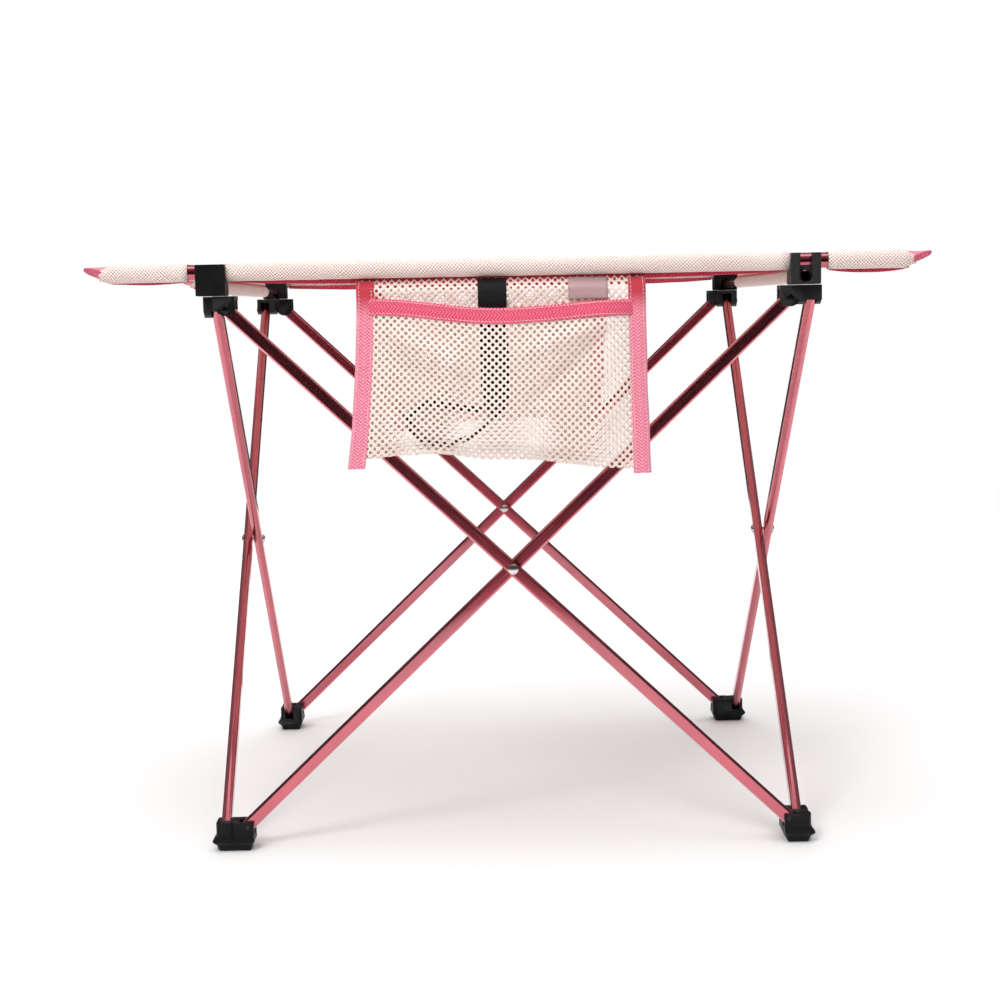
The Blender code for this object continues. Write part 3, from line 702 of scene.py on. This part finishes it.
def stitches(name, paths, normal_of, length=0.0024, pitch=0.0034, radius=0.00028):
    """Rows of short threads along polylines, as one piece."""
    mesh = bpy.data.meshes.new(name)
    points, faces = [], []
    for path in paths:
        distance = run(path)
        total = distance[-1]
        count = int(total / pitch)
        for n in range(count):
            at = (n + 0.5) * pitch
            k = next(i for i in range(len(distance) - 1) if distance[i + 1] >= at)
            a, b = Vector(path[k]), Vector(path[k + 1])
            along = (b - a).normalized()
            middle = a.lerp(b, (at - distance[k]) / max(1e-9, distance[k + 1] - distance[k]))
            up = Vector(normal_of(middle)).normalized()
            side = along.cross(up).normalized()
            base = len(points)
            for t, r, lift in ((-0.5, 0.35, -0.8), (-0.3, 1, 0.2), (0.3, 1, 0.2), (0.5, 0.35, -0.8)):
                for q in range(6):
                    angle = math.pi * q / 3
                    offset = side * math.cos(angle) + up * math.sin(angle)
                    points.append(middle + along * t * length + offset * radius * r + up * lift * radius)
            for ring in range(3):
                for q in range(6):
                    a0, a1 = base + ring * 6 + q, base + ring * 6 + (q + 1) % 6
                    faces.append((a0, a1, a1 + 6, a0 + 6))
            faces.append(tuple(base + q for q in reversed(range(6))))
            faces.append(tuple(base + 18 + q for q in range(6)))
    mesh.from_pydata([tuple(p) for p in points], [], faces)
    return make_piece(name, smooth_mesh(mesh, 0), THREAD, "tabletop")


def build_top_stitching():
    """Seams of the sleeves, the cross tunnels and the edge tapes, seen from above."""
    lift = 0.00045
    paths = []
    for sign in (-1, 1):
        for dy in (0.0, 0.0032):
            for x0, x1 in ((-0.3500, -0.2800), (-0.2440, 0.2440), (0.2800, 0.3500)):
                paths.append([(x, sign * (SEAM_Y - 0.0022 - dy), top_height(x, SEAM_Y - 0.003) + lift)
                              for x in spread(x0, x1, 0.01)])
        for dx in (-0.0016, 0.0016):
            x = sign * 0.259 + dx
            paths.append([(x, y, top_height(x, y) + lift) for y in spread(*TUNNEL_Y, 0.01)])
        x = sign * 0.3545
        paths.append([(x, y, 0.5301) for y in spread(-0.242, 0.242, 0.01)])
    return stitches("top_stitching", paths, lambda p: (0, 0, 1))


# ----------------------------------------------------------------------------------------- pockets

CELL_X, CELL_Z, HOLE = 0.0065, 0.0031, 0.00150  # a hole's cell, and the hole's radius
POCKET_TOP = 0.5135
BACK_Y = 0.2800
TAPE_SHARE = 0.052
# each crease runs from x, z to x, z, with its width and its depth
FOLDS = ((-0.112, 0.475, -0.030, 0.430, 0.008, 0.0080), (-0.105, 0.452, -0.045, 0.412, 0.007, -0.0070),
         (0.100, 0.478, 0.005, 0.445, 0.009, 0.0075), (0.085, 0.462, 0.015, 0.400, 0.008, -0.0070),
         (-0.045, 0.455, -0.060, 0.372, 0.010, 0.0040), (0.105, 0.420, 0.060, 0.362, 0.009, 0.0050),
         (-0.110, 0.400, -0.070, 0.370, 0.008, 0.0036))


# the eight points on a diamond cell's edge, in quarter cells
AROUND = ((2, 0), (1, 1), (0, 2), (-1, 1), (-2, 0), (-1, -1), (0, -2), (1, -1))


class Pocket:
    """A net pocket in front-facing coordinates; turn puts the rear one in place."""

    def __init__(self, name, turn, top, bottom, floor, rim, seed, slump):
        self.name, self.turn, self.seed = name, turn, seed
        self.top, self.bottom, self.floor, self.rim, self.slump = top, bottom, floor, rim, slump

    def side_x(self, end, z):
        """The side edge's x at a height: end 0 is the left edge and 1 the right."""
        t = max(0.0, (0.507 - z) / (0.507 - 0.350)) ** 1.8
        return lerp(self.top[end], self.bottom[end], t)

    def at(self, u, v):
        """u 0..1 across, v 0..1 down the back, round the bottom and up the front."""
        x_mid = lerp(self.top[0], self.top[1], u)
        floor, rim = table(x_mid, *self.floor), table(x_mid, *self.rim)
        belly = math.sin(math.pi * min(1, max(0, (u - TAPE_SHARE) / (1 - 2 * TAPE_SHARE)))) ** 0.5
        back_length, front_length = POCKET_TOP - floor, rim - floor
        total = back_length + front_length
        distance = v * total
        if distance < back_length:
            z = POCKET_TOP - distance
            y = table(POCKET_TOP - z, (0, 0.2668), (0.0105, BACK_Y), (0.03, BACK_Y + 0.0004))
            low = ease((floor + 0.020 - z) / 0.020)
            y += 0.003 * low * belly
            y += 0.0005 * belly * (1 + wobble(x_mid, z, 25, self.seed)) * ease((0.5 - z) / 0.03)
        else:
            z = floor + (distance - back_length)
            height = (z - floor) / max(1e-6, rim - floor)
            bulge = lerp(0.0150, 0.0115, height) + 0.006 * math.sin(math.pi * height) ** 0.8
            round_off = ease((z - floor) / 0.016)
            y = BACK_Y + 0.0024 + belly * (lerp(0.0015, bulge, round_off) - 0.001)
            y += belly * 0.0016 * wobble(x_mid, z, 22, self.seed + 3) * ease((rim - z) / 0.03)
            y += belly * self.fold(x_mid, z) * ease((z - floor) / 0.03) * ease((rim - z) / 0.02)
        z += 0.0003 * belly * math.sin(60 * x_mid + self.seed) * (1 - abs(2 * v - 1))
        x = lerp(self.side_x(0, z), self.side_x(1, z), u)
        return Vector((x, -y, z))

    def fold(self, x, z):
        """Long soft creases that run down from the rim's corners to the middle of the panel."""
        depth = 0.0
        for x0, z0, x1, z1, width, size in FOLDS:
            a, b = Vector((self.slump * x0, z0)), Vector((self.slump * x1, z1))
            t = min(1, max(0, (Vector((x, z)) - a).dot(b - a) / (b - a).length_squared))
            distance = (Vector((x, z)) - a.lerp(b, t)).length / width
            depth += size * math.exp(-distance ** 2) * math.sin(math.pi * min(1, 0.15 + 0.85 * t))
        return depth

    def place(self, point):
        return self.turn @ Vector(point)

    def build_net(self):
        """The net with real holes, in one strip down the back and up the front."""
        width = self.top[1] - self.top[0]
        length = POCKET_TOP - self.floor[1][1] + self.rim[1][1] - self.floor[1][1]
        columns, rows = int(width / CELL_X), int(length / CELL_Z)
        points, flat_place, index, faces = [], [], {}, []

        def vertex(key, u, v):
            if key not in index:
                index[key] = len(points)
                points.append(self.place(self.at(u / width, v / length)))
                flat_place.append((u, v))
            return index[key]

        for row in range(1, rows):
            for column in range(1, 2 * columns):
                if (row + column) % 2:
                    continue
                cu, cv = column * CELL_X / 2, row * CELL_Z
                outer, inner = [], []
                for n, (du, dv) in enumerate(AROUND):
                    angle = math.pi / 4 * n
                    outer.append(vertex((2 * column + du, 2 * row + dv),
                                        cu + du * CELL_X / 4, cv + dv * CELL_Z / 2))
                    inner.append(vertex((column, row, n),
                                        cu + HOLE * math.cos(angle), cv + HOLE * math.sin(angle)))
                for n in range(8):
                    m = (n + 1) % 8
                    faces.append((outer[n], outer[m], inner[m], inner[n]))
        mesh = bpy.data.meshes.new(f"{self.name}_net")
        mesh.from_pydata([tuple(p) for p in points], [], faces)
        layer = mesh.uv_layers.new(name="metres").data
        for loop in mesh.loops:
            layer[loop.index].uv = flat_place[loop.vertex_index]
        piece = make_piece(f"{self.name}_net", smooth_mesh(mesh, 0), NET, "tabletop")
        thicken(piece, 0.0007)
        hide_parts(self.name)
        share = 1 - 2 * math.sqrt(2) * HOLE ** 2 / (CELL_X * CELL_Z)
        return piece, (width + 0.006, length), share

    def tape(self, name, path, across, out, width, material, gap=0.0022, thickness=0.0011):
        """Tape folded round an edge: path is the fold, across points from it, out is the face's normal."""
        half, inner = gap / 2 + thickness, gap / 2
        third, two_thirds = width * 0.33, width * 0.66
        outline = [(width, half), (two_thirds, half), (third, half), (0.0014, half), (0.0002, inner),
                   (-0.0003, 0), (0.0002, -inner), (0.0014, -half), (third, -half), (two_thirds, -half),
                   (width, -half), (width, -inner), (0.0020, -inner), (0.0020, inner), (width, inner)]
        sections = []
        for i, point in enumerate(path):
            a, n = Vector(across(i)).normalized(), Vector(out(i)).normalized()
            sections.append([self.place(Vector(point) + a * s + n * t) for s, t in outline])
        measure = [width * share for share in
                   (0, 0.34, 0.67, 1, 1, 1, 1, 1, 1.33, 1.66, 2, 2, 3, 3, 4, 4)]
        mesh = skin(name, sections, capped=True, uv_across=measure, angle=50)
        return make_piece(name, mesh, material, "tabletop")

    def build_side(self, end, tail):
        """The tape down one side edge; it starts under the hem and ends below the net."""
        inward = 1 if end == 0 else -1
        path = []
        for z in spread(0.5120, tail, 0.006):
            y = table(POCKET_TOP - z, (0, 0.2680), (0.0105, BACK_Y + 0.0008), (0.03, BACK_Y + 0.0016))
            x = self.side_x(end, z) - inward * 0.0012 + 0.0006 * wobble(z, end, 30, self.seed)
            path.append(Vector((x, -y, z)))
        piece = self.tape(f"{self.name}_side_{'ab'[end]}", path, lambda i: (inward, 0, 0.02 * inward),
                          lambda i: (0, -1, 0), 0.0150, POCKET_TAPE, gap=0.0030)
        rows = [[self.place(p + Vector((inward * s, -0.0027, 0))) for p in path] for s in (0.0022, 0.0130)]
        return piece, rows

    def build_rim(self):
        """The tape folded over the front panel's upper edge."""
        us = spread(0.040, 0.960, 0.02)
        path = [self.at(u, 1.0) + Vector((0, 0, 0.0006)) for u in us]

        def down(i):
            return self.at(us[i], 0.95) - self.at(us[i], 1.0)

        def out(i):
            along = path[min(i + 1, len(path) - 1)] - path[max(0, i - 1)]
            normal = down(i).cross(along)
            return normal if normal.y < 0 else -normal

        piece = self.tape(f"{self.name}_rim", path, down, out, 0.0138, RIM_TAPE, gap=0.0012, thickness=0.0009)
        rows = [[self.place(path[i] + down(i).normalized() * s + out(i).normalized() * 0.0016)
                 for i in range(len(path))] for s in (0.0016, 0.0122)]
        return piece, rows


def build_pocket(name, turn, top, bottom, floor, rim, tails, seed, slump):
    """The net, its tapes and their stitching."""
    pocket = Pocket(name, turn, top, bottom, floor, rim, seed, slump)
    net, flat, share = pocket.build_net()
    rim_tape, rows = pocket.build_rim()
    extras = [rim_tape]
    for end, tail in enumerate(tails):
        tape, more = pocket.build_side(end, tail)
        extras.append(tape)
        rows += more
    outward = pocket.turn @ Vector((0, -1, 0))
    extras.append(stitches(f"{name}_stitching", rows, lambda p: outward, pitch=0.0032))
    return pocket, net, flat, share, extras


def build_label(pocket):
    """A blank care label hanging from the hem."""
    left, right = 0.052, 0.0865
    sections = []
    for z in spread(0.5125, 0.4930, 0.0016):
        y = table(POCKET_TOP - z, (0, 0.2690), (0.0105, BACK_Y + 0.0022), (0.03, BACK_Y + 0.0032))
        curl = 0.0012 * ease((0.503 - z) / 0.01)
        sections.append([pocket.place((lerp(left, right, s),
                                       -(y + 0.0006 * math.sin(5 * s + 1) + curl * s), z))
                         for s in [i / 10 for i in range(11)]])
    mesh = skin("blank_label", sections, closed=False)
    return thicken(make_piece("blank_label", mesh, LABEL_PAINTED_SHADE, "tabletop"), 0.00035)


# ------------------------------------------------------------------------------------- roll strap

STRAP_X = (-0.0270, -0.0015)
STRAP_WIDTH, TAIL_WIDTH, STRAP_HALF_THICK = 0.0250, 0.0100, 0.00065
# x, z of the tail where it lies in the pocket
TAIL = ((-0.0130, 0.4220), (-0.0150, 0.3980), (-0.0310, 0.3790), (-0.0580, 0.3695), (-0.0830, 0.3780),
        (-0.0885, 0.3950), (-0.0700, 0.4060), (-0.0450, 0.4010), (-0.0240, 0.3985))


def catmull(points, steps):
    """A smooth curve through the points."""
    out = []
    ends = [2 * points[0] - points[1], *points, 2 * points[-1] - points[-2]]
    for i in range(1, len(ends) - 2):
        p0, p1, p2, p3 = ends[i - 1:i + 3]
        for s in range(steps):
            t = s / steps
            out.append(0.5 * (2 * p1 + (p2 - p0) * t + (2 * p0 - 5 * p1 + 4 * p2 - p3) * t * t
                              + (3 * p1 - p0 - 3 * p2 + p3) * t ** 3))
    return out + [points[-1]]


def build_strap():
    """Black webbing: a wide drop from the hem, and a narrow tail lying on edge in the pocket."""
    centre = sum(STRAP_X) / 2
    drop = [Vector((centre, y, z)) for y, z in
            ((-0.2700, 0.5125), (-0.2810, 0.5050), (-0.2838, 0.4930), (-0.2846, 0.4700))]
    drop.append(Vector((centre + 0.001, -0.2852, 0.4480)))
    path = catmull(drop + [Vector((x, -0.2868, z)) for x, z in TAIL], 10)
    distance = run(path)
    sections, widths = [], []
    for i, point in enumerate(path):
        along = (path[min(i + 1, len(path) - 1)] - path[max(0, i - 1)]).normalized()
        turn = ease((distance[i] - 0.100) / 0.050)
        width = lerp(STRAP_WIDTH, TAIL_WIDTH, turn)
        flat_way, edge_way = Vector((1, 0, 0)), Vector((0, -1, 0)) + along.cross(Vector((0, -1, 0))) * 0.5
        across = flat_way.lerp(edge_way.normalized(), turn)
        across = (across - along * across.dot(along)).normalized()
        normal = along.cross(across).normalized() * STRAP_HALF_THICK
        half = across * width / 2
        sections.append([point - half - normal, point - half * 0.5 - normal, point + half * 0.5 - normal,
                         point + half - normal, point + half + normal, point + half * 0.5 + normal,
                         point - half * 0.5 + normal, point - half + normal])
        widths.append(width)
    area = sum((widths[i] + widths[i + 1]) / 2 * (distance[i + 1] - distance[i])
               for i in range(len(path) - 1))
    measure = [0, .006, .019, .025, .026, .032, .045, .051, .052]
    mesh = skin("black_strap", sections, capped=True, uv_across=measure, angle=50)
    strap = make_piece("black_strap", mesh, BLACK_TAPE, "tabletop")
    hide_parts("roll_strap")
    return strap, distance[-1], area


# --------------------------------------------------------------------------- lights, floor, camera


def build_stage():
    """A round pale floor, a little further to the rear than to the front."""
    radius, centre_y, sides = 2.2, 0.6, 96
    turns = [2 * math.pi * i / sides for i in range(sides)]
    floor = bpy.data.meshes.new("studio_floor")
    floor.from_pydata([(radius * math.cos(a), centre_y + radius * math.sin(a), 0) for a in turns],
                      [], [tuple(range(sides))])
    disc = bpy.data.objects.new("studio_floor", floor)
    bpy.context.scene.collection.objects.link(disc)
    floor.materials.append(Paint("floor_paper", (0.90, 0.90, 0.90), roughness=0.9).material)


def build_world():
    """White for the camera; for light and reflections, bright above and dark towards the horizon."""
    world = bpy.data.worlds.new("studio")
    bpy.context.scene.world = world
    world.use_nodes = True
    nodes, links = world.node_tree.nodes, world.node_tree.links
    nodes.clear()
    direction = nodes.new("ShaderNodeTexCoord").outputs["Generated"]
    split = nodes.new("ShaderNodeSeparateXYZ")
    links.new(direction, split.inputs[0])
    ramp = nodes.new("ShaderNodeValToRGB")
    place = nodes.new("ShaderNodeMapRange")
    place.inputs[1].default_value, place.inputs[2].default_value = -1, 1
    links.new(split.outputs[2], place.inputs[0])
    links.new(place.outputs[0], ramp.inputs[0])
    stops = ((0.0, 0.03), (0.5, 0.03), (0.6, 0.05), (0.78, 0.12), (0.9, 0.30), (1.0, 0.50))
    elements = ramp.color_ramp.elements
    while len(elements) < len(stops):
        elements.new(0.5)
    for element, (position, value) in zip(elements, stops):
        element.position = position
        element.color = (value, value, value, 1)
    soft, white = nodes.new("ShaderNodeBackground"), nodes.new("ShaderNodeBackground")
    links.new(ramp.outputs[0], soft.inputs[0])
    white.inputs[0].default_value = (1, 1, 1, 1)
    mix, path = nodes.new("ShaderNodeMixShader"), nodes.new("ShaderNodeLightPath")
    links.new(path.outputs["Is Camera Ray"], mix.inputs[0])
    links.new(soft.outputs[0], mix.inputs[1])
    links.new(white.outputs[0], mix.inputs[2])
    links.new(mix.outputs[0], nodes.new("ShaderNodeOutputWorld").inputs[0])


def area_light(name, location, target, size, power, mirrored=True):
    """A softbox; mirrored is False for a fill that gives no highlight."""
    light = bpy.data.lights.new(name, "AREA")
    light.shape, light.size, light.size_y, light.energy = "RECTANGLE", size[0], size[1], power
    lamp = bpy.data.objects.new(name, light)
    bpy.context.scene.collection.objects.link(lamp)
    lamp.location = location
    lamp.visible_glossy = mirrored
    lamp.rotation_euler = (Vector(target) - Vector(location)).to_track_quat("-Z", "Y").to_euler()


def build_camera():
    """The photo's viewpoint, from the frame's pivots and legs."""
    yaw, pitch, roll = (math.radians(a) for a in (0.096, -8.614, -1.161))
    forward = Vector((math.sin(yaw) * math.cos(pitch), math.cos(yaw) * math.cos(pitch), math.sin(pitch)))
    right = forward.cross((0, 0, 1)).normalized()
    up = right.cross(forward)
    right, up = (math.cos(roll) * right + math.sin(roll) * up, math.cos(roll) * up - math.sin(roll) * right)
    data = bpy.data.cameras.new("camera")
    data.sensor_width, data.lens, data.shift_x, data.shift_y = 36, 68.98, 0.0157, 0.0984
    camera = bpy.data.objects.new("camera", data)
    bpy.context.scene.collection.objects.link(camera)
    camera.matrix_world = Matrix.Translation((-0.0292, -1.9681, 0.4871)) @ \
        Matrix((right, up, -forward)).transposed().to_4x4()
    bpy.context.scene.camera = camera


# ---------------------------------------------------------------------------------------- assembly

build_legs()
build_rivets()
build_rails()
build_nylon()
dress_cad()

sheet = build_top()
hems = [build_hem(row, sign, *span) for row, sign in (("front", -1), ("rear", 1)) for span in
        ((-0.2425, 0.2425, "middle"), (-0.3520, -0.2815, "left"), (0.2815, 0.3520, "right"))]
tapes = [build_edge_binding(hand, sign) for hand, sign in (("left", -1), ("right", 1))]
tunnels = [build_tunnel(hand, sign) for hand, sign in (("left", -1), ("right", 1))]
build_top_stitching()

FRONT = dict(top=(-0.1310, 0.1180), bottom=(-0.1425, 0.1215), tails=(0.3490, 0.3410), seed=0.0, slump=1.0,
             floor=((-0.136, 0.3575), (-0.063, 0.3610), (-0.010, 0.3560), (0.108, 0.3450)),
             rim=((-0.120, 0.4960), (-0.007, 0.4860), (0.105, 0.4916)))
REAR = dict(top=(-0.1220, 0.1490), bottom=(-0.1110, 0.1250), tails=(0.3440, 0.3470), seed=11.0, slump=-0.6,
            floor=((-0.122, 0.3500), (-0.040, 0.3590), (0.040, 0.3560), (0.140, 0.3520)),
            rim=((-0.110, 0.4940), (0.010, 0.4870), (0.135, 0.4950)))
for name, turn, shape in (("pocket_front", Matrix.Identity(4), FRONT), ("pocket_rear", quarter(2), REAR)):
    pocket, net, flat, share, extras = build_pocket(name, turn, **shape)
    if name == "pocket_front":
        extras.append(build_label(pocket))

strap, strap_length, strap_area = build_strap()

build_stage()
build_world()
area_light("ceiling", (0, 0.5, 3.2), (0, 0.5, 0), (6.0, 6.0), 128, mirrored=False)
area_light("softbox_top", (0, 0.0, 2.6), (0, 0, 0.2), (1.9, 1.5), 14)
area_light("fill_front", (0, -3.3, 1.7), (0, 0, 0.4), (3.0, 1.6), 30, mirrored=False)
area_light("key_front", (-1.1, -2.3, 2.2), (0, 0, 0.4), (1.0, 0.8), 42, mirrored=False)
area_light("fill_rear", (0, 3.3, 1.7), (0, 0, 0.4), (3.0, 1.6), 38, mirrored=False)
build_camera()
bpy.context.scene.view_settings.view_transform = "Standard"
